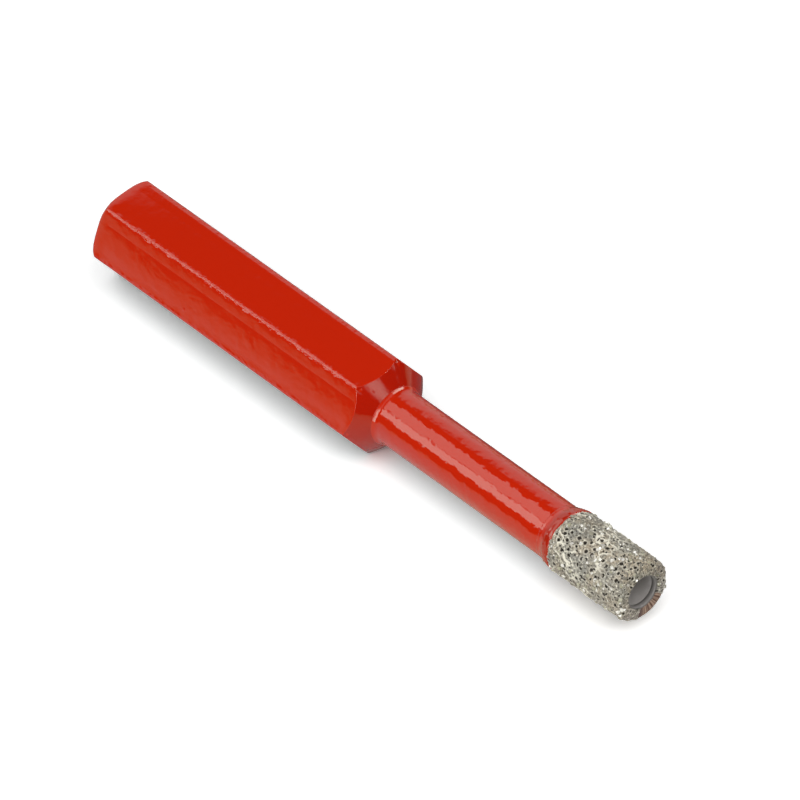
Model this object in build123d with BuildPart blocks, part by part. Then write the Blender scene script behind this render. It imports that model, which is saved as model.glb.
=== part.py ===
from build123d import *
import os
from math import cos, radians, tan

# Dry diamond core drill bit for tiles, in millimetres. The tool's axis is X: the rear face of the
# shank is at X = 0 and the cutting end points to +X. It lies on one flat, so +Z is straight up.

# Hexagonal shank, cut from drawn bar
across_flats = 8.0
bar_edge_radius = 0.35
shank_length = 33.1
rear_corner_radius = 0.9
rear_scallop_edge = 0.2

# Turned nose and tube
nose_half_angle = 46.3
nose_scallop_edge = 0.2
nose_root_radius = 0.8
neck_length = 20.4
neck_relief = 0.3
tube_wall = 1.1
bore_depth = 31.0
drill_point_angle = 118.0

# Brazed diamond crown
crown_diameter = 5.74
crown_length = 9.0
run_out_length = 1.3
run_out_edge = 0.05
end_layer = 0.5
rim_radius = 0.6
mouth_radius = 0.25

# The nose cone and the rear rounding both start on the circle through the bar's sharp corners
corner_circle_radius = across_flats / 2 / cos(radians(30))

# The crown stands proud of the tube, so that it cuts room for the neck behind it
crown_radius = crown_diameter / 2
neck_radius = crown_radius - neck_relief
bore_radius = neck_radius - tube_wall

# Stations along the axis, from the rear face to the tip
nose_length = (corner_circle_radius - neck_radius) / tan(radians(nose_half_angle))
neck_start = shank_length + nose_length
run_out_start = neck_start + neck_length
grit_start = run_out_start + run_out_length
tip = grit_start + crown_length
tube_end = tip - end_layer
bore_floor = tip - bore_depth
bore_point = bore_floor - bore_radius / tan(radians(drill_point_angle / 2))

# Steel body: shank, nose and tube are one bar, turned at both ends and drilled from the front
with BuildPart() as shank_body:
    with BuildSketch(Plane.YZ) as bar_section:
        RegularPolygon(across_flats / 2, 6, major_radius=False)
        fillet(bar_section.vertices(), bar_edge_radius)
    extrude(amount=tube_end)
    with BuildSketch(Plane.XZ) as turned_outline:
        with BuildLine():
            Polyline(
                (0, 0),
                (0, corner_circle_radius),
                (shank_length, corner_circle_radius),
                (neck_start, neck_radius),
                (tube_end, neck_radius),
                (tube_end, 0),
                close=True,
            )
        make_face()
        rear_corner = turned_outline.vertices().sort_by_distance((0, corner_circle_radius))[0]
        fillet(rear_corner, rear_corner_radius)
        nose_root = turned_outline.vertices().sort_by_distance((neck_start, neck_radius))[0]
        fillet(nose_root, nose_root_radius)
    revolve(axis=Axis.X, mode=Mode.INTERSECT)

    # The rounding and the cone cut the flats in scallops, whose edges are softened all the way round
    scallops = shank_body.edges().filter_by(lambda edge: edge.geom_type in (GeomType.HYPERBOLA, GeomType.BSPLINE))
    fillet(scallops.filter_by_position(Axis.X, 0, shank_length / 2), rear_scallop_edge)
    scallops = shank_body.edges().filter_by(lambda edge: edge.geom_type in (GeomType.HYPERBOLA, GeomType.BSPLINE))
    fillet(scallops.filter_by_position(Axis.X, shank_length, neck_start), nose_scallop_edge)

    # Bore for the core that the crown cuts out, left by a pointed twist drill
    with BuildSketch(Plane.XZ) as bore_outline:
        with BuildLine():
            Polyline(
                (tube_end, 0),
                (tube_end, bore_radius),
                (bore_floor, bore_radius),
                (bore_point, 0),
                close=True,
            )
        make_face()
    revolve(axis=Axis.X, mode=Mode.SUBTRACT)
shank_body.part.label = "shank_body"

# Diamond crown: grit and braze fused over the end of the tube, feathered out towards the neck
with BuildPart() as diamond_crown:
    with BuildSketch(Plane.XZ) as crown_outline:
        with BuildLine():
            Polyline(
                (run_out_start, neck_radius),
                (run_out_start, neck_radius + run_out_edge),
                (grit_start, crown_radius),
                (tip, crown_radius),
                (tip, bore_radius),
                (tube_end, bore_radius),
                (tube_end, neck_radius),
                close=True,
            )
        make_face()
        rim = crown_outline.vertices().sort_by_distance((tip, crown_radius))[0]
        fillet(rim, rim_radius)
        mouth = crown_outline.vertices().sort_by_distance((tip, bore_radius))[0]
        fillet(mouth, mouth_radius)
    revolve(axis=Axis.X)
diamond_crown.part.label = "diamond_crown"

os.makedirs("parts", exist_ok=True)
for piece in (shank_body, diamond_crown):
    export_step(piece.part, f"parts/{piece.part.label}.step")
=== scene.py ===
import random
from math import cos, pi, radians, sin, sqrt, tan

import bmesh
import bpy
from mathutils import Matrix, Vector


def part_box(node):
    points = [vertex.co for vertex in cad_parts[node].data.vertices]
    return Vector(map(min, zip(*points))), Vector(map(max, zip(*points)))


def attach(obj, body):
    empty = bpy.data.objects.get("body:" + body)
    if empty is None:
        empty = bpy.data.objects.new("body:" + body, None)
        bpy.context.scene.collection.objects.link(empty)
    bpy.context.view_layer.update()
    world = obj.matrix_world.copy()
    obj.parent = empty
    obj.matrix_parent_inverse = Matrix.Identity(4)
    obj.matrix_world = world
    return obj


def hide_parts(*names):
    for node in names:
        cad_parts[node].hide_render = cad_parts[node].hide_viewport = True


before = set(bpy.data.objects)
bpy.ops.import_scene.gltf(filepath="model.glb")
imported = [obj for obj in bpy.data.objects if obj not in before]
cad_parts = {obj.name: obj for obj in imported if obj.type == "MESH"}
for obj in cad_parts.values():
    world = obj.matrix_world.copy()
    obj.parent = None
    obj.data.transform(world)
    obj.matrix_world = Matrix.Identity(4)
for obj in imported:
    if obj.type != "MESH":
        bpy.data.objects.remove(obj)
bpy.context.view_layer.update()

# Steel body: one hexagonal bar turned to a tube and sprayed with a glossy red enamel. The film pulls
# thin at the bar's edges, stands in a fat bead beside them and is slightly wavy all over. No paint
# went down the bore, so its wall is bare steel.
mm = 0.001
across_flats = 8.0 * mm
shank_length = 33.1 * mm
nose_angle = radians(46.3)
neck_radius = 2.57 * mm
bore_radius = 1.47 * mm
corner_radius = across_flats / 2 / cos(radians(30))
neck_start = shank_length + (corner_radius - neck_radius) / tan(nose_angle)
enamel_red = (0.59, 0.0165, 0.0011, 1)
# The nose's red is darker as painted shade
nose_painted_shade_red = (0.44, 0.008, 0.0006, 1)
red_over_grit = (0.23, 0.012, 0.005, 1)
bounced_grey = (0.12, 0.12, 0.12, 1)
bore_steel = (0.50, 0.47, 0.45, 1)
gloss_tint = (0.65, 0.99, 0.87, 1)
enamel_roughness = 0.075
bore_extra_roughness = 0.4


def node(tree, kind, inputs=None, **settings):
    """A new node, with its settings made and each input linked to a socket or given a plain value"""
    made = tree.nodes.new(kind)
    for name, value in settings.items():
        setattr(made, name, value)
    for name, value in (inputs or {}).items():
        if isinstance(value, bpy.types.NodeSocket):
            tree.links.new(value, made.inputs[name])
        else:
            made.inputs[name].default_value = value
    return made


def calculate(tree, operation, *values):
    return node(tree, "ShaderNodeMath", dict(enumerate(values)), operation=operation).outputs[0]


def add(tree, total, *others):
    for value in others:
        total = calculate(tree, "ADD", total, value)
    return total


def multiply(tree, product, *others):
    for value in others:
        product = calculate(tree, "MULTIPLY", product, value)
    return product


def subtract(tree, first, second):
    return calculate(tree, "SUBTRACT", first, second)


def vector(tree, operation, first, second=None):
    """One step of vector arithmetic. The second value is a plain factor where the step scales"""
    inputs = {0: first}
    if second is not None:
        inputs["Scale" if operation == "SCALE" else 1] = second
    made = node(tree, "ShaderNodeVectorMath", inputs, operation=operation)
    return made.outputs["Value" if operation in ("DOT_PRODUCT", "LENGTH") else "Vector"]


def ramp(tree, value, start, end, low=0.0, high=1.0):
    """A smooth step from low to high as value goes from start to end"""
    inputs = {"Value": value, "From Min": start, "From Max": end, "To Min": low, "To Max": high}
    return node(tree, "ShaderNodeMapRange", inputs, interpolation_type="SMOOTHSTEP").outputs[0]


def blend_colours(tree, share, first, second):
    """The first colour where the share is 0, and the second where it is 1"""
    return node(tree, "ShaderNodeMix", {0: share, 6: first, 7: second}, data_type="RGBA").outputs[2]


def noise(tree, place, scale, detail=0.0):
    inputs = {"Vector": place, "Scale": scale, "Detail": detail}
    return node(tree, "ShaderNodeTexNoise", inputs).outputs["Fac"]


def new_finish(name, roughness, ior=1.5):
    finish = bpy.data.materials.new(name)
    finish.use_nodes = True
    tree = finish.node_tree
    shader = tree.nodes["Principled BSDF"]
    shader.inputs["Roughness"].default_value = roughness
    shader.inputs["IOR"].default_value = ior
    return finish, tree, shader


def axis_coordinates(tree, place):
    """The distance along the tool's axis, the radius from it and the turn about it, up from -Y"""
    parts = node(tree, "ShaderNodeSeparateXYZ", {"Vector": place}).outputs
    square_y = calculate(tree, "POWER", parts["Y"], 2.0)
    square_z = calculate(tree, "POWER", parts["Z"], 2.0)
    radius = calculate(tree, "SQRT", add(tree, square_y, square_z))
    turn = calculate(tree, "ARCTAN2", parts["Z"], multiply(tree, parts["Y"], -1.0))
    return parts["X"], radius, turn


enamel, tree, shader = new_finish("red_enamel", enamel_roughness)
place = node(tree, "ShaderNodeTexCoord").outputs["Object"]
along, radius, turn = axis_coordinates(tree, place)

# The film on each face of the hexagon, with all heights in mm: crowned across the face and leaning a
# little, with a bead below its upper edge and a ridge of paint at both edges
half_width = across_flats / 2 / mm
half_face = half_width * tan(radians(30))
crowning_depth = 0.011
lean_slope = 0.009
bead_start = 1.05
bead_rising = 0.052
bead_falling = 0.11
upper_ridge_start = 2.14
upper_ridge_slope = 0.27
lower_ridge_start = -1.4
lower_ridge_swell = 0.055
sector = subtract(tree, calculate(tree, "FLOORED_MODULO", turn, radians(60)), radians(30))
across = multiply(tree, calculate(tree, "TANGENT", sector), half_width)
square = multiply(tree, across, across)
crowning = multiply(tree, add(tree, square, multiply(tree, square, square, 0.08)), -crowning_depth)
short_of_edge = ramp(tree, across, 2.3, 2.15)
short_of_nose = ramp(tree, along, shank_length, 32.4 * mm)
lean = multiply(tree, across, short_of_edge, short_of_nose)
crowning = add(tree, crowning, multiply(tree, lean, lean_slope))
bead_rise = multiply(tree, subtract(tree, across, bead_start), bead_rising)
bead_fall = multiply(tree, subtract(tree, half_face, across), bead_falling)
bead = calculate(tree, "MAXIMUM", calculate(tree, "MINIMUM", bead_rise, bead_fall), 0.0)
upper_ridge = calculate(tree, "MAXIMUM", subtract(tree, across, upper_ridge_start), 0.0)
upper_ridge = multiply(tree, upper_ridge, upper_ridge_slope)
lower_ridge = calculate(tree, "MAXIMUM", subtract(tree, lower_ridge_start, across), 0.0)
lower_ridge = multiply(tree, lower_ridge, lower_ridge, lower_ridge_swell)
bead = add(tree, bead, add(tree, upper_ridge, lower_ridge))
past_rear_corner = ramp(tree, along, 0.3 * mm, 2.0 * mm)
before_nose = ramp(tree, along, 34.2 * mm, 32.6 * mm)
film = multiply(tree, add(tree, crowning, bead), multiply(tree, past_rear_corner, before_nose))

# It thins towards the rear end: fast over the rounded corner, and slowly over the last 7 mm
along_in_mm = calculate(tree, "DIVIDE", along, mm)
for reach, thinning in ((1.1, 0.045), (7.0, 0.003)):
    near_rear = calculate(tree, "MAXIMUM", subtract(tree, reach, along_in_mm), 0.0)
    film = subtract(tree, film, multiply(tree, calculate(tree, "POWER", near_rear, 2.0), thinning))

# Waves, an orange peel that is deeper on the neck, crumbs of paint along the bar's edges, and a few
# dust nibs under the film
wave_depth = 0.016
shank_peel_depth = 0.022
neck_peel_depth = 0.075
crumb_height = 0.09
nib_height = 0.012
wave = multiply(tree, noise(tree, place, 350.0, detail=1.0), wave_depth)
peel_depth = ramp(tree, along, neck_start - 1 * mm, neck_start + 1 * mm, shank_peel_depth, neck_peel_depth)
peel = multiply(tree, noise(tree, place, 1000.0, detail=2.0), peel_depth)
waviness = add(tree, wave, peel)
near_edge = multiply(
    tree,
    ramp(tree, calculate(tree, "ABSOLUTE", across), 1.9, 2.2),
    ramp(tree, along, 33.0 * mm, 31.5 * mm),
    ramp(tree, along, 0.6 * mm, 1.2 * mm),
)
crumbs = subtract(tree, noise(tree, place, 2200.0, detail=1.0), 0.5)
waviness = add(tree, waviness, multiply(tree, crumbs, near_edge, crumb_height))
nib_cells = node(tree, "ShaderNodeTexVoronoi", {"Vector": place, "Scale": 330.0}, feature="F1")
nibs = ramp(tree, nib_cells.outputs["Distance"], 0.07, 0.0, 0.0, nib_height)
height = add(tree, film, waviness, nibs)

# The nose is a true cone, so its normal is worked out from its angle, and the film swells a little
# along it. What lies off the cone's radius is a flat or a fillet, and keeps the mesh's own normal.
nose_middle = 33.95 * mm
nose_root = 34.85 * mm
nose_swelling = 0.03
past_shank = subtract(tree, along, shank_length)
cone_radius = calculate(tree, "MULTIPLY_ADD", past_shank, -tan(nose_angle), corner_radius)
off_cone = calculate(tree, "ABSOLUTE", subtract(tree, radius, cone_radius))
above_root = ramp(tree, along, nose_root, nose_root - 0.05 * mm)
on_cone = multiply(tree, ramp(tree, off_cone, 0.017 * mm, 0.011 * mm), above_root)
outwards = vector(tree, "MULTIPLY", place, (0, 1, 1))
outwards = vector(tree, "SCALE", vector(tree, "NORMALIZE", outwards), cos(nose_angle))
cone_normal = vector(tree, "ADD", outwards, (sin(nose_angle), 0, 0))
mesh_normal = node(tree, "ShaderNodeNewGeometry").outputs["Normal"]
normal_change = vector(tree, "SCALE", vector(tree, "SUBTRACT", cone_normal, mesh_normal), on_cone)
turned_normal = vector(tree, "ADD", normal_change, mesh_normal)
along_nose = calculate(tree, "DIVIDE", subtract(tree, along, nose_middle), mm)
swelling = multiply(tree, calculate(tree, "POWER", along_nose, 2.0), -nose_swelling, on_cone)
height = add(tree, height, swelling)
inputs = {"Height": height, "Strength": 1.0, "Distance": mm, "Normal": turned_normal}
bump = node(tree, "ShaderNodeBump", inputs)
tree.links.new(bump.outputs["Normal"], shader.inputs["Normal"])

# The red is painted darker on the nose as painted shade, and is deeper over the grit, and the light that
# it throws on the floor is grey
bounced = node(tree, "ShaderNodeLightPath").outputs["Is Diffuse Ray"]
paint = blend_colours(tree, bounced, enamel_red, bounced_grey)
over_grit = multiply(tree, ramp(tree, along, 55.7 * mm, 56.3 * mm), 0.4)
paint = blend_colours(tree, over_grit, paint, red_over_grit)
paint = blend_colours(tree, multiply(tree, on_cone, 0.9), paint, nose_painted_shade_red)
at_bore_wall = ramp(tree, radius, 1.03 * bore_radius, 1.02 * bore_radius)
in_bore = multiply(tree, at_bore_wall, ramp(tree, along, 20 * mm, 21 * mm))
roughness = add(tree, multiply(tree, in_bore, bore_extra_roughness), enamel_roughness)
tree.links.new(blend_colours(tree, in_bore, paint, bore_steel), shader.inputs["Base Color"])
tree.links.new(roughness, shader.inputs["Roughness"])
shader.inputs["Specular Tint"].default_value = gloss_tint

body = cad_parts["shank_body"]
body.data.materials.clear()
body.data.materials.append(enamel)

# Diamond crown: grit and nickel braze fused in a furnace over the end of the tube. The braze has
# drawn back into pores and thin webs between the grains, and the end was ground bare in one place.
crown_low, crown_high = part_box("diamond_crown")
crown_radius = crown_high.z
tip = crown_high.x
run_out_start = crown_low.x
grit_start = run_out_start + 1.3 * mm
tube_end = tip - 0.5 * mm
rim_radius = 0.6 * mm
mouth_radius = 0.25 * mm
seat_radius = neck_radius - 0.05 * mm
under_paint = 0.6 * mm
ground_middle = radians(104)
round_segments = 376
grit_step = 0.05 * mm
deepest_pore = 0.24 * mm
braze_warm = (0.40, 0.335, 0.24, 1)
braze_grey = (0.29, 0.28, 0.24, 1)
braze_painted_underside_shade = (0.33, 0.28, 0.265, 1)
braze_dark_speckle = (0.17, 0.155, 0.12, 1)
braze_pale_speckle = (0.72, 0.68, 0.55, 1)
web_pale = (0.86, 0.82, 0.68, 1)
far_side_painted_shade = (0.10, 0.075, 0.085, 1)
pore_painted_shade_black = (0.02, 0.014, 0.008, 1)
scraped_dark = (0.10, 0.045, 0.03, 1)
scraped_copper = (0.40, 0.27, 0.20, 1)
scraped_dull = (0.10, 0.055, 0.055, 1)
tooth_black = (0.02, 0.012, 0.012, 1)
mouth_dark = (0.14, 0.132, 0.125, 1)
mouth_painted_light = (0.24, 0.225, 0.215, 1)


def turned_ring(name, outline, segments):
    """A closed ring about the tool's axis, drawn out of one circle from station to station"""
    bpy.ops.object.select_all(action="DESELECT")
    x, radius = outline[0]
    facing_along = (0, pi / 2, 0)
    bpy.ops.mesh.primitive_circle_add(
        vertices=segments, radius=radius, location=(x, 0, 0), rotation=facing_along
    )
    piece = bpy.context.object
    piece.name = name
    bpy.ops.object.transform_apply(location=True, rotation=True, scale=True)
    bpy.ops.object.mode_set(mode="EDIT")
    bpy.ops.mesh.select_all(action="SELECT")
    for next_x, next_radius in outline[1:] + outline[:1]:
        bpy.ops.mesh.extrude_edges_move(TRANSFORM_OT_translate={"value": (next_x - x, 0, 0)})
        size = next_radius / radius
        bpy.ops.transform.resize(value=(1, size, size), center_override=(next_x, 0, 0))
        x = next_x
        radius = next_radius
    bpy.ops.mesh.select_all(action="SELECT")
    bpy.ops.mesh.remove_doubles(threshold=0.001 * mm)
    bpy.ops.mesh.normals_make_consistent(inside=False)
    return piece


def select_edges(piece, wanted):
    """Selects, in edit mode, the edges whose two ends, as (x, radius), pass the test"""
    bpy.ops.mesh.select_mode(type="EDGE")
    bpy.ops.mesh.select_all(action="DESELECT")
    mesh = bmesh.from_edit_mesh(piece.data)
    for edge in mesh.edges:
        ends = (Vector((end.co.x, sqrt(end.co.y ** 2 + end.co.z ** 2))) for end in edge.verts)
        edge.select_set(wanted(*ends))
    bmesh.update_edit_mesh(piece.data)


def circle_at(x, radius):
    """A test for the edges of one circle of the ring"""
    corner = Vector((x, radius))
    return lambda first, second: all((end - corner).length < 0.001 * mm for end in (first, second))


def divide_line(piece, start, end, step):
    """Divides the straight lines between two stations of the outline into even steps"""
    start = Vector(start)
    end = Vector(end)

    def joins(first, second):
        same = (first - start).length + (second - end).length
        other = (first - end).length + (second - start).length
        return min(same, other) < 0.002 * mm

    select_edges(piece, joins)
    bpy.ops.mesh.subdivide(number_cuts=max(1, round((end - start).length / step) - 1))


def relief(piece, draw):
    """Moves the surface along its normals by draw()'s height, and keeps its masks as attributes"""
    tree = bpy.data.node_groups.new(piece.name + "_relief", "GeometryNodeTree")
    tree.interface.new_socket("Geometry", in_out="INPUT", socket_type="NodeSocketGeometry")
    tree.interface.new_socket("Geometry", in_out="OUTPUT", socket_type="NodeSocketGeometry")
    shape = tree.nodes.new("NodeGroupInput").outputs[0]
    height, masks = draw(tree, node(tree, "GeometryNodeInputPosition").outputs[0])
    for name, mask in masks.items():
        store = node(tree, "GeometryNodeStoreNamedAttribute", {"Geometry": shape, "Name": name})
        values = (socket for socket in store.inputs if socket.name == "Value" and socket.enabled)
        tree.links.new(mask, next(values))
        shape = store.outputs[0]
    normal = node(tree, "GeometryNodeInputNormal").outputs[0]
    move = vector(tree, "SCALE", normal, height)
    moved = node(tree, "GeometryNodeSetPosition", {"Geometry": shape, "Offset": move}).outputs[0]
    tree.links.new(moved, tree.nodes.new("NodeGroupOutput").inputs[0])
    modifier = piece.modifiers.new("relief", "NODES")
    modifier.node_group = tree
    bpy.context.view_layer.objects.active = piece
    bpy.ops.object.modifier_apply(modifier=modifier.name)


def grit_relief(tree, place):
    """The crown's lumps, pores, webs and ground place, as a height and three masks"""
    along, radius, turn = axis_coordinates(tree, place)
    on_side = ramp(tree, radius, neck_radius + 0.1 * mm, neck_radius + 0.25 * mm)
    on_end = ramp(tree, along, tip - 0.4 * mm, tip - 0.2 * mm)
    outside = multiply(
        tree,
        calculate(tree, "MAXIMUM", on_side, on_end),
        ramp(tree, radius, bore_radius + 0.03 * mm, bore_radius + 0.25 * mm),
        ramp(tree, along, grit_start, grit_start + 0.5 * mm),
    )

    # The ground place: a sector of the end, pointing down, with a sharp edge
    wander = noise(tree, place, 2500.0, detail=1.0)
    off_middle = calculate(tree, "ABSOLUTE", add(tree, turn, ground_middle))
    off_middle = add(tree, off_middle, multiply(tree, wander, 0.25))
    sector = ramp(tree, off_middle, radians(42.5), radians(41))
    end_zone = add(tree, along, multiply(tree, wander, 0.25 * mm))
    bare = multiply(tree, sector, ramp(tree, end_zone, tip - 0.42 * mm, tip - 0.38 * mm))
    keep = subtract(tree, 1.0, bare)

    def lumps(scale, depth, detail=0.0):
        return multiply(tree, subtract(tree, noise(tree, place, scale, detail), 0.5), 2 * depth)

    # The surface rolled out flat: its outline's length against the turn
    seam = ramp(tree, calculate(tree, "ABSOLUTE", turn), pi, pi - 0.08)
    unrolled = {"X": subtract(tree, along, radius), "Y": multiply(tree, turn, crown_radius)}
    unrolled = node(tree, "ShaderNodeCombineXYZ", unrolled).outputs[0]

    def pores(scale, smallest, largest, depth):
        """Round pits with a raised lip, one to a cell and each with a size of its own"""
        inputs = {"Vector": unrolled, "Scale": scale, "Randomness": 0.9}
        cells = node(tree, "ShaderNodeTexVoronoi", inputs, voronoi_dimensions="2D", feature="F1")
        share = node(tree, "ShaderNodeSeparateXYZ", {"Vector": cells.outputs["Color"]}).outputs[0]
        reach = add(tree, multiply(tree, share, largest - smallest), smallest)
        ratio = calculate(tree, "DIVIDE", cells.outputs["Distance"], reach)
        hole = multiply(tree, ramp(tree, ratio, 1.0, 0.55), seam)
        lip = multiply(tree, ramp(tree, ratio, 0.8, 1.1), ramp(tree, ratio, 1.6, 1.1))
        return hole, lip, multiply(tree, hole, -depth)

    big_hole, big_lip, big_depth = pores(1450.0, smallest=0.14, largest=0.31, depth=0.2 * mm)
    small_hole, _, small_depth = pores(2400.0, smallest=0.06, largest=0.23, depth=0.14 * mm)

    # Webs of braze along the edges of bent cells, in patches and fewer near the tip
    inputs = {"Vector": place, "Scale": 1400.0, "Detail": 1.0}
    swirl = node(tree, "ShaderNodeTexNoise", inputs).outputs["Color"]
    bent_place = vector(tree, "ADD", place, vector(tree, "SCALE", swirl, 0.6 * mm))
    inputs = {"Vector": bent_place, "Scale": 1100.0}
    cell_edges = node(tree, "ShaderNodeTexVoronoi", inputs, feature="DISTANCE_TO_EDGE")
    web = multiply(
        tree,
        ramp(tree, cell_edges.outputs["Distance"], 0.09, 0.03),
        ramp(tree, noise(tree, place, 420.0, detail=1.0), 0.45, 0.55),
        subtract(tree, 1.0, big_hole),
        ramp(tree, along, 63.5 * mm, 62 * mm, 0.25, 1.0),
    )

    height = add(
        tree,
        lumps(600.0, 0.05 * mm),
        lumps(1900.0, 0.09 * mm),
        lumps(4000.0, 0.05 * mm),
        lumps(7000.0, 0.03 * mm, detail=1.0),
        big_depth,
        small_depth,
        multiply(tree, web, 0.05 * mm),
        multiply(tree, big_lip, 0.03 * mm),
    )
    height = multiply(tree, calculate(tree, "MAXIMUM", height, -deepest_pore), outside)
    dip = multiply(tree, ramp(tree, along, grit_start + 0.7 * mm, grit_start + 0.3 * mm), -0.05 * mm)
    dip = multiply(tree, dip, ramp(tree, radius, neck_radius, neck_radius + 0.15 * mm))
    height = add(tree, height, dip)
    ground_height = multiply(tree, height, 0.15)
    height = add(tree, multiply(tree, height, keep), multiply(tree, ground_height, bare))
    pore = calculate(tree, "MAXIMUM", big_hole, small_hole)
    pore = multiply(tree, pore, multiply(tree, keep, outside))
    pale_edge = calculate(tree, "MAXIMUM", web, multiply(tree, big_lip, 0.5))
    return height, {"pore": pore, "web": multiply(tree, pale_edge, keep), "ground": bare}


shoulder = (grit_start - 0.2 * mm, crown_radius - 0.1 * mm)
outline = [
    (run_out_start + under_paint, seat_radius),
    (run_out_start + under_paint, neck_radius + 0.05 * mm),
    shoulder,
    (grit_start, crown_radius),
    (tip, crown_radius),
    (tip, bore_radius),
    (tube_end - 0.05 * mm, bore_radius - 0.01 * mm),
    (tube_end - 0.05 * mm, seat_radius),
]
crown = turned_ring("crown_grit", outline, round_segments)
select_edges(crown, circle_at(tip, crown_radius))
bpy.ops.mesh.bevel(offset=rim_radius, segments=24, affect="EDGES")
select_edges(crown, circle_at(tip, bore_radius))
bpy.ops.mesh.bevel(offset=mouth_radius, segments=8, affect="EDGES")
divide_line(crown, (grit_start, crown_radius), (tip - rim_radius, crown_radius), grit_step)
divide_line(crown, (tip, crown_radius - rim_radius), (tip, bore_radius + mouth_radius), grit_step)
divide_line(crown, shoulder, (grit_start, crown_radius), grit_step)
bpy.ops.object.mode_set(mode="OBJECT")
relief(crown, grit_relief)
bpy.ops.object.shade_smooth()

# The fine tooth that the braze and the diamonds' facets share, each with its own scale and depth
fine_grain = bpy.data.node_groups.new("fine_grain", "ShaderNodeTree")
for name in ("Scale", "Detail", "Depth"):
    fine_grain.interface.new_socket(name, in_out="INPUT", socket_type="NodeSocketFloat")
fine_grain.interface.new_socket("Normal", in_out="OUTPUT", socket_type="NodeSocketVector")
given = fine_grain.nodes.new("NodeGroupInput").outputs
place = node(fine_grain, "ShaderNodeTexCoord").outputs["Object"]
grain = noise(fine_grain, place, given["Scale"], given["Detail"])
bump = node(fine_grain, "ShaderNodeBump", {"Height": grain, "Strength": 1.0, "Distance": given["Depth"]})
grain_output = fine_grain.nodes.new("NodeGroupOutput")
fine_grain.links.new(bump.outputs["Normal"], grain_output.inputs["Normal"])

grit, tree, shader = new_finish("diamond_grit", roughness=0.5)
place = node(tree, "ShaderNodeTexCoord").outputs["Object"]
along, radius, turn = axis_coordinates(tree, place)
pore = node(tree, "ShaderNodeAttribute", attribute_name="pore").outputs["Fac"]
web = node(tree, "ShaderNodeAttribute", attribute_name="web").outputs["Fac"]
ground = node(tree, "ShaderNodeAttribute", attribute_name="ground").outputs["Fac"]

# Braze: two tones in zones, speckled, with pale webs; painted shade makes it duller below and darker on
# the far side, and paints the pores black
zones = noise(tree, place, 380.0, detail=2.0)
braze = blend_colours(tree, ramp(tree, zones, 0.4, 0.6), braze_warm, braze_grey)
# Painted shade: the underside of the crown is duller
below = multiply(tree, ramp(tree, turn, 0.5, -0.6), 0.7)
braze = blend_colours(tree, below, braze, braze_painted_underside_shade)
speckle = noise(tree, place, 4500.0, detail=2.0)
braze = blend_colours(tree, ramp(tree, speckle, 0.48, 0.6), braze, braze_dark_speckle)
braze = blend_colours(tree, ramp(tree, speckle, 0.42, 0.32), braze, braze_pale_speckle)
braze = blend_colours(tree, web, braze, web_pale)
# Painted shade: the far side of the crown is darker
off_far_side = calculate(tree, "ABSOLUTE", subtract(tree, turn, radians(165)))
far_side = ramp(tree, off_far_side, radians(50), radians(15), 0.0, 0.3)
braze = blend_colours(tree, far_side, braze, far_side_painted_shade)
# The pores are painted near-black as the shade inside them
braze = blend_colours(tree, ramp(tree, pore, 0.1, 0.5), braze, pore_painted_shade_black)


def streaks_across(tree, turn, count):
    """Streaks from the bore outwards, as the grinding wheel left them"""
    inputs = {"W": multiply(tree, turn, count), "Scale": 1.0}
    return node(tree, "ShaderNodeTexNoise", inputs, noise_dimensions="1D").outputs["Fac"]


# The ground place: copper streaks, duller at one side, and dark teeth along its outer edge
streaks = ramp(tree, streaks_across(tree, turn, 12.0), 0.35, 0.65)
scraped = blend_colours(tree, streaks, scraped_dark, scraped_copper)
scraped = blend_colours(tree, ramp(tree, turn, radians(-85), radians(-70)), scraped, scraped_dull)
teeth = ramp(tree, streaks_across(tree, turn, 45.0), 0.42, 0.5)
teeth = multiply(tree, teeth, ramp(tree, along, tip - 0.2 * mm, tip - 0.32 * mm))
scraped = blend_colours(tree, teeth, scraped, tooth_black)
braze = blend_colours(tree, ground, braze, scraped)

# The mouth: smooth grey metal, painted paler towards the bore's wall as painted light that lifts the shade
# inside the mouth
into_mouth = ramp(tree, radius, bore_radius + 0.1 * mm, bore_radius + 0.02 * mm)
mouth_grey = blend_colours(tree, into_mouth, mouth_dark, mouth_painted_light)
inside = ramp(tree, radius, bore_radius + 0.2 * mm, bore_radius + 0.1 * mm)
tree.links.new(blend_colours(tree, inside, braze, mouth_grey), shader.inputs["Base Color"])
inputs = {"Scale": 9000.0, "Detail": 2.0, "Depth": 0.02 * mm}
grained = node(tree, "ShaderNodeGroup", inputs, node_tree=fine_grain)
tree.links.new(grained.outputs["Normal"], shader.inputs["Normal"])
crown.data.materials.append(grit)
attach(crown, "root")
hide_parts("diamond_crown")

# Paint collar: the enamel ran out over the feathered end of the grit, so it lies there as a soft
# shoulder with grains showing as pimples under it, and dives under the bare grit.
collar_segments = 256
collar_step = 0.07 * mm
collar_outline = [
    (run_out_start - 0.1 * mm, neck_radius - 0.03 * mm),
    (run_out_start - 0.1 * mm, neck_radius + 0.001 * mm),
    (run_out_start + 0.25 * mm, neck_radius + 0.03 * mm),
    (run_out_start + 0.5 * mm, neck_radius + 0.11 * mm),
    (grit_start - 0.45 * mm, crown_radius - 0.06 * mm),
    (grit_start - 0.1 * mm, crown_radius + 0.01 * mm),
    (grit_start + 0.15 * mm, crown_radius + 0.02 * mm),
    (grit_start + 0.35 * mm, crown_radius - 0.12 * mm),
    (grit_start + 0.35 * mm, neck_radius - 0.03 * mm),
]


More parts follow.
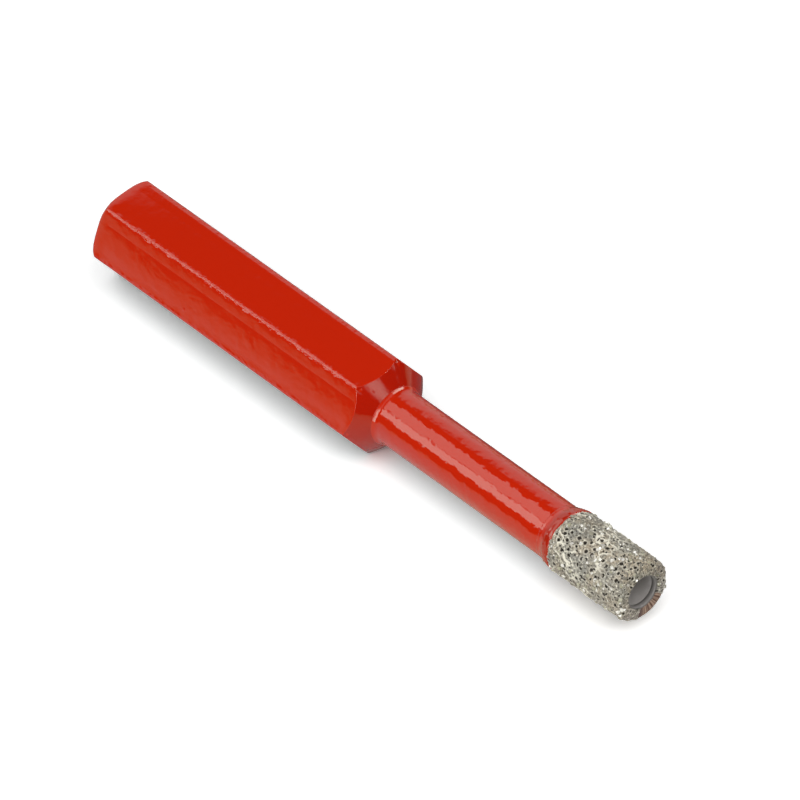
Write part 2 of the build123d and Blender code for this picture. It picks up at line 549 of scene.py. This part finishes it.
def pimple_relief(tree, place):
    """The grains under the paint, as a height that dies away at both ends of the shoulder"""
    along, radius, turn = axis_coordinates(tree, place)
    on_shoulder = multiply(
        tree,
        ramp(tree, along, run_out_start, run_out_start + 0.4 * mm),
        ramp(tree, along, grit_start + 0.34 * mm, grit_start + 0.2 * mm),
        ramp(tree, radius, neck_radius, neck_radius + 0.01 * mm),
    )
    cells = node(tree, "ShaderNodeTexVoronoi", {"Vector": place, "Scale": 1500.0}, feature="F1")
    pimples = ramp(tree, cells.outputs["Distance"], 0.32, 0.05, 0.0, 0.06 * mm)
    swell = multiply(tree, subtract(tree, noise(tree, place, 900.0, detail=1.0), 0.5), 0.12 * mm)
    return multiply(tree, add(tree, pimples, swell), on_shoulder), {}


collar = turned_ring("paint_collar", collar_outline, collar_segments)
for start, end in zip(collar_outline[1:7], collar_outline[2:8]):
    divide_line(collar, start, end, collar_step)
bpy.ops.object.mode_set(mode="OBJECT")
relief(collar, pimple_relief)
bpy.ops.object.shade_smooth()
collar.data.materials.append(enamel)
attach(collar, "root")

# Diamonds: sorted blocky crystals, cubes with their corners cut off, sunk to half or deeper in the
# braze over the side, the rim and the end of the crown. Their clean facets give the crown some glints,
# and near-white patches painted on some crystals add painted glints.
grain_size = 0.25 * mm
grain_count = 300
corner_cut = 0.3 * grain_size
deepest_seat = 0.12 * mm
smallest_share = 0.7
largest_share = 1.35
diamond_yellow = (0.48, 0.46, 0.33, 1)
diamond_brown = (0.38, 0.35, 0.29, 1)
diamond_painted_glint = (0.95, 0.93, 0.86, 1)
random.seed(11)
bpy.ops.object.select_all(action="DESELECT")
bpy.ops.mesh.primitive_cube_add(size=grain_size)
crystal = bpy.context.object
crystal.name = "diamonds"
bpy.ops.object.mode_set(mode="EDIT")
bpy.ops.mesh.bevel(offset=corner_cut, affect="VERTICES")
bpy.ops.object.mode_set(mode="OBJECT")

# Each crystal lies at its own travel along the outline, from the grit's start over the rim to the
# mouth. Fewer are kept where the end narrows, and none on the ground place.
side_length = tip - rim_radius - grit_start
rim_length = rim_radius * pi / 2
face_length = crown_radius - rim_radius - bore_radius - mouth_radius
crystals = []
for _ in range(grain_count):
    travel = random.uniform(0.1 * mm, side_length + rim_length + face_length)
    bend = min(max((travel - side_length) / rim_radius, 0.0), pi / 2)
    past_rim = max(travel - side_length - rim_length, 0.0)
    x = grit_start + min(travel, side_length) + rim_radius * sin(bend)
    from_axis = crown_radius - rim_radius * (1 - cos(bend)) - past_rim
    angle = random.uniform(0, 2 * pi)
    on_ground_place = bend > 0.3 and cos(angle + ground_middle) > 0.73
    if random.random() > from_axis / crown_radius or on_ground_place:
        continue
    outwards = Vector((sin(bend), -cos(bend) * cos(angle), cos(bend) * sin(angle)))
    surface = Vector((x, -from_axis * cos(angle), from_axis * sin(angle)))
    seat = surface + outwards * random.uniform(-deepest_seat, 0.0)
    tumble = random.uniform(0, pi)
    tumble_axis = Vector([random.uniform(-1, 1) for _ in range(3)]).normalized()
    size = random.uniform(smallest_share, largest_share)
    copy = crystal.copy()
    copy.data = crystal.data.copy()
    turned = Matrix.Rotation(tumble, 4, tumble_axis)
    copy.data.transform(Matrix.Translation(seat) @ turned @ Matrix.Scale(size, 4))
    bpy.context.scene.collection.objects.link(copy)
    crystals.append(copy)
bpy.data.objects.remove(crystal)
bpy.ops.object.select_all(action="DESELECT")
for copy in crystals:
    copy.select_set(True)
bpy.context.view_layer.objects.active = crystals[0]
bpy.ops.object.join()
diamonds = bpy.context.object
diamonds.name = "diamonds"

facets, tree, shader = new_finish("diamond_facets", roughness=0.12, ior=2.4)
place = node(tree, "ShaderNodeTexCoord").outputs["Object"]
tints = noise(tree, place, 1100.0)
tint = blend_colours(tree, ramp(tree, tints, 0.4, 0.6), diamond_yellow, diamond_brown)
# Painted glints: near-white patches on some crystals
clear = noise(tree, place, 2600.0)
tint = blend_colours(tree, ramp(tree, clear, 0.58, 0.64), tint, diamond_painted_glint)
tree.links.new(tint, shader.inputs["Base Color"])
inputs = {"Scale": 14000.0, "Detail": 1.0, "Depth": 0.004 * mm}
grained = node(tree, "ShaderNodeGroup", inputs, node_tree=fine_grain)
tree.links.new(grained.outputs["Normal"], shader.inputs["Normal"])
diamonds.data.materials.append(facets)
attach(diamonds, "root")

# Floor: a wide sheet of white paper that the bit lies on. It is exposed to white, and its colour darkens,
# as painted shade, where the bit hides the room from it. The gloss sees it warmer and dimmer further off,
# as a painted falloff of its light, and much darker, as painted shade, in two strips, behind the bit and
# past its rear end.
floor_size = 6.0
floor_exposure = 1.6
shade_share = 0.745
strip_shade = 0.8
paper_grey = (0.85, 0.85, 0.85, 1)
black = (0, 0, 0, 1)
low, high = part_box("shank_body")
bpy.ops.object.select_all(action="DESELECT")
bpy.ops.mesh.primitive_plane_add(size=floor_size, location=(0, 0, low.z))
floor = bpy.context.object
floor.name = "floor"
paper = bpy.data.materials.new("white_paper")
paper.use_nodes = True
tree = paper.node_tree
place = node(tree, "ShaderNodeTexCoord").outputs["Object"]
from_rear_end = vector(tree, "LENGTH", place)


def fading(tree, distance, nearest, at_60_mm, power):
    """A level that falls off with the distance over the floor"""
    further = calculate(tree, "DIVIDE", 60 * mm, calculate(tree, "MAXIMUM", distance, 5 * mm))
    share = calculate(tree, "POWER", further, power)
    return calculate(tree, "MINIMUM", multiply(tree, share, at_60_mm), nearest)


fading_colour = {
    "Red": fading(tree, from_rear_end, 0.93, 0.83, 0.4),
    "Green": fading(tree, from_rear_end, 0.9, 0.8, 0.4),
    "Blue": fading(tree, from_rear_end, 0.9, 0.62, 0.65),
}
glossy_colour = node(tree, "ShaderNodeCombineColor", fading_colour).outputs[0]
spot = node(tree, "ShaderNodeSeparateXYZ", {"Vector": place}).outputs
# Painted shade in the gloss: two dark strips, behind the bit and past its rear end
behind = multiply(tree, ramp(tree, spot["Y"], 1 * mm, 3 * mm), ramp(tree, spot["Y"], 30 * mm, 21 * mm))
past_rear = multiply(
    tree,
    ramp(tree, spot["X"], -0.5 * mm, -2 * mm),
    ramp(tree, calculate(tree, "ABSOLUTE", spot["Y"]), 12 * mm, 8 * mm),
    ramp(tree, spot["X"], -20 * mm, -12 * mm),
)
shaded = multiply(tree, calculate(tree, "MAXIMUM", behind, past_rear), strip_shade)
glossy_colour = blend_colours(tree, shaded, glossy_colour, black)


def level_of(tree, value, start, end, low, high):
    """A straight ramp from low to high, which it keeps past its ends"""
    inputs = {"Value": value, "From Min": start, "From Max": end, "To Min": low, "To Max": high}
    return node(tree, "ShaderNodeMapRange", inputs).outputs[0]


# The paper's exposure follows how much open sky each spot sees: painted shade where the bit hides it
open_sky = node(tree, "ShaderNodeAmbientOcclusion", {"Distance": 0.1}, samples=10).outputs["AO"]
exposure = level_of(tree, open_sky, 0.30, 0.42, shade_share * floor_exposure, floor_exposure)
exposure = multiply(tree, exposure, level_of(tree, open_sky, 0.58, 0.75, 1.0, 0.85))
exposure_channels = {"Red": exposure, "Green": exposure, "Blue": exposure}
exposed_white = node(tree, "ShaderNodeCombineColor", exposure_channels).outputs[0]
light_path = node(tree, "ShaderNodeLightPath").outputs
colour = blend_colours(tree, light_path["Is Glossy Ray"], paper_grey, glossy_colour)
colour = blend_colours(tree, light_path["Is Camera Ray"], colour, exposed_white)
diffuse = node(tree, "ShaderNodeBsdfDiffuse", {"Color": colour})
tree.links.new(diffuse.outputs[0], tree.nodes["Material Output"].inputs["Surface"])
floor.data.materials.append(paper)

# Studio surroundings: white to the camera, and an even light from all round. The gloss sees a pale
# sweep past the rear end, a soft glow beside the tip and bands of light overhead.
diffuse_level = 0.44
sweep_slope = 0.78
sweep_heading = Vector((-0.84, 0.54, 0.0))
sweep_level = 0.95
darkest_level = 0.04
side_glow_level = 2.7
side_glow_heading = (0.81, 0.06, 0.583)
world = bpy.data.worlds.new("studio")
bpy.context.scene.world = world
world.use_nodes = True
tree = world.node_tree
background = tree.nodes["Background"]
direction = node(tree, "ShaderNodeTexCoord").outputs["Generated"]
heading = node(tree, "ShaderNodeSeparateXYZ", {"Vector": direction}).outputs
sweep_plane = (sweep_slope * sweep_heading.x, sweep_slope * sweep_heading.y, -1)
sweep = ramp(tree, vector(tree, "DOT_PRODUCT", direction, sweep_plane), -0.1, 0.1)
sweep_ends = multiply(tree, ramp(tree, heading["X"], 0.0, -0.35), ramp(tree, heading["Y"], -0.6, -0.2))
sweep = multiply(tree, sweep, sweep_ends)
beside_tip = vector(tree, "DOT_PRODUCT", direction, side_glow_heading)
side_glow = multiply(tree, ramp(tree, beside_tip, 0.945, 1.002), side_glow_level)
far_lean = calculate(tree, "DIVIDE", heading["Y"], calculate(tree, "MAXIMUM", heading["Z"], 0.01))
overhead = add(
    tree,
    ramp(tree, far_lean, -0.7, -1.2, 0.8, 6.3),
    ramp(tree, far_lean, 0.3, 0.55, 0.0, 6.0),
    ramp(tree, far_lean, 1.1, 1.5, 0.0, 1.5),
)
overhead = multiply(tree, overhead, ramp(tree, far_lean, 3.0, 2.4))
overhead_ends = multiply(tree, ramp(tree, heading["X"], 0.12, 0.25), ramp(tree, heading["X"], 0.56, 0.42))
overhead = multiply(tree, overhead, overhead_ends)
glossy = add(tree, multiply(tree, sweep, sweep_level), darkest_level)
glossy = add(tree, glossy, add(tree, side_glow, overhead))
light_path = node(tree, "ShaderNodeLightPath").outputs
level = node(tree, "ShaderNodeMix", {0: light_path["Is Glossy Ray"], 2: diffuse_level, 3: glossy})
level = node(tree, "ShaderNodeMix", {0: light_path["Is Camera Ray"], 2: level.outputs[0], 3: 1.0})
tree.links.new(level.outputs[0], background.inputs["Strength"])
background.inputs["Color"].default_value = (1, 1, 1, 1)


# Lamps: five flat softboxes that face the bit. Two are seen by the gloss alone, as its long
# highlights, and three light the colours and don't show in the gloss.
def softbox(name, direction, distance, width, height, radiance):
    lamp = bpy.data.lights.new(name, "AREA")
    lamp.shape = "RECTANGLE"
    lamp.size = width
    lamp.size_y = height
    lamp.energy = radiance * pi * width * height
    box = bpy.data.objects.new(name, lamp)
    bpy.context.scene.collection.objects.link(box)
    towards = Vector(direction).normalized()
    along = Vector((0, towards.z, -towards.y)).normalized()
    across = along.cross(towards)
    facing = Matrix((across, along, towards)).transposed().to_4x4()
    box.matrix_world = Matrix.Translation(towards * distance) @ facing
    return box


key = softbox("key_softbox", (-0.5, -0.647, 0.572), 0.6, 0.48, 0.255, 3.75)
top = softbox("top_softbox", (-0.5, -0.195, 0.844), 0.6, 0.48, 0.34, 2.05)
for box in (key, top):
    box.visible_diffuse = False
overhead_fill = softbox("overhead_fill", (0.3, -0.1, 0.95), 0.7, 0.8, 0.7, 1.3)
front_fill = softbox("front_fill", (0.1, -0.85, 0.5), 0.7, 0.5, 0.4, 1.8)
side = softbox("side_softbox", (0.78, 0.16, 0.60), 0.6, 0.2, 0.3, 2.0)
for box in (overhead_fill, front_fill, side):
    box.visible_glossy = False

# Camera: a long lens that looks down on the bit from beyond its tip, tilted so that the bit runs from
# the upper left to the lower right. Its place was fitted to the photograph's outline.
look_at = Vector((33.715, 1.453, 0)) * mm
azimuth = radians(55.496)
elevation = radians(44.795)
roll = radians(-10.167)
camera_distance = 0.8801
shot = bpy.data.cameras.new("camera")
shot.sensor_width = 36
shot.lens = 469.21
shot.clip_start = 0.01
shot.clip_end = 10
camera = bpy.data.objects.new("camera", shot)
bpy.context.scene.collection.objects.link(camera)
bpy.context.scene.camera = camera
back = Vector((sin(azimuth) * cos(elevation), -cos(azimuth) * cos(elevation), sin(elevation)))
level_view = (-back).to_track_quat("-Z", "Y").to_matrix()
rolled_view = level_view @ Matrix.Rotation(roll, 3, "Z")
camera.matrix_world = Matrix.Translation(look_at + back * camera_distance) @ rolled_view.to_4x4()

bpy.context.scene.view_settings.view_transform = "Standard"
